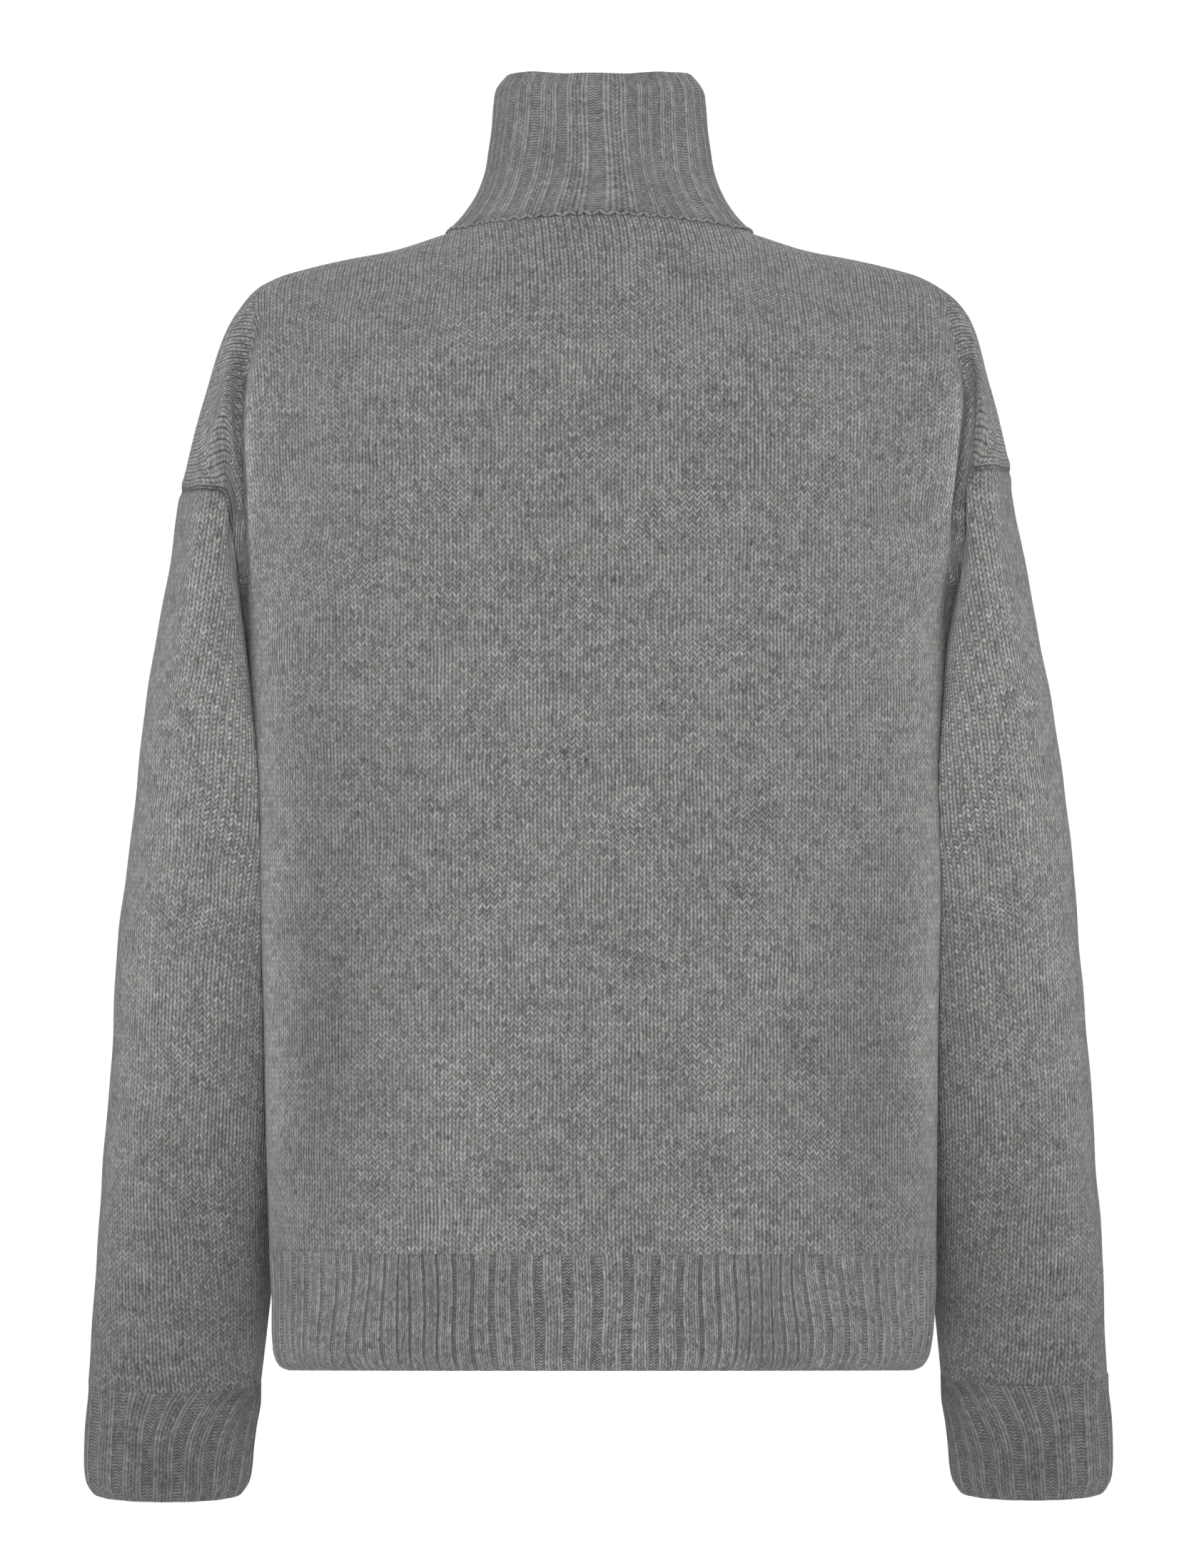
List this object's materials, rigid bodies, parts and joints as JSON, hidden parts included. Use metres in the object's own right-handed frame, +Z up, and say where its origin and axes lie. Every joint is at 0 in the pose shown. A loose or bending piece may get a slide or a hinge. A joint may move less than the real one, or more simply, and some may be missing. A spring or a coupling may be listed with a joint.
{
  "type": "turtleneck sweater",
  "caption": "Loose knitted sweater with dropped shoulders, long sleeves and a tall standing collar, ribbed at the collar, hem and cuffs, filled out as worn.",
  "frame": {"origin": "the middle of the neck, level with the tops of the shoulders beside the collar", "axes": "+Z up, the front faces -Y, the wearer's left is +X"},
  "size_m": [0.5614, 0.2354, 0.7824],
  "materials": {
    "back": "plain knit in grey melange wool, slightly brushed",
    "front": "plain knit in grey melange wool, slightly brushed",
    "back_hem": "wide rib knit in grey melange wool",
    "front_hem": "wide rib knit in grey melange wool",
    "left_sleeve": "plain knit in grey melange wool, slightly brushed",
    "right_sleeve": "plain knit in grey melange wool, slightly brushed",
    "left_cuff": "wide rib knit in grey melange wool",
    "right_cuff": "wide rib knit in grey melange wool",
    "collar": "wide rib knit in grey melange wool"
  },
  "bodies": {
    "root": {"back": "back", "front": "front", "back_hem": "back_hem", "front_hem": "front_hem", "left_sleeve": "left_sleeve", "right_sleeve": "right_sleeve", "left_cuff": "left_cuff", "right_cuff": "right_cuff", "collar": "collar"}
  },
  "joints": []
}
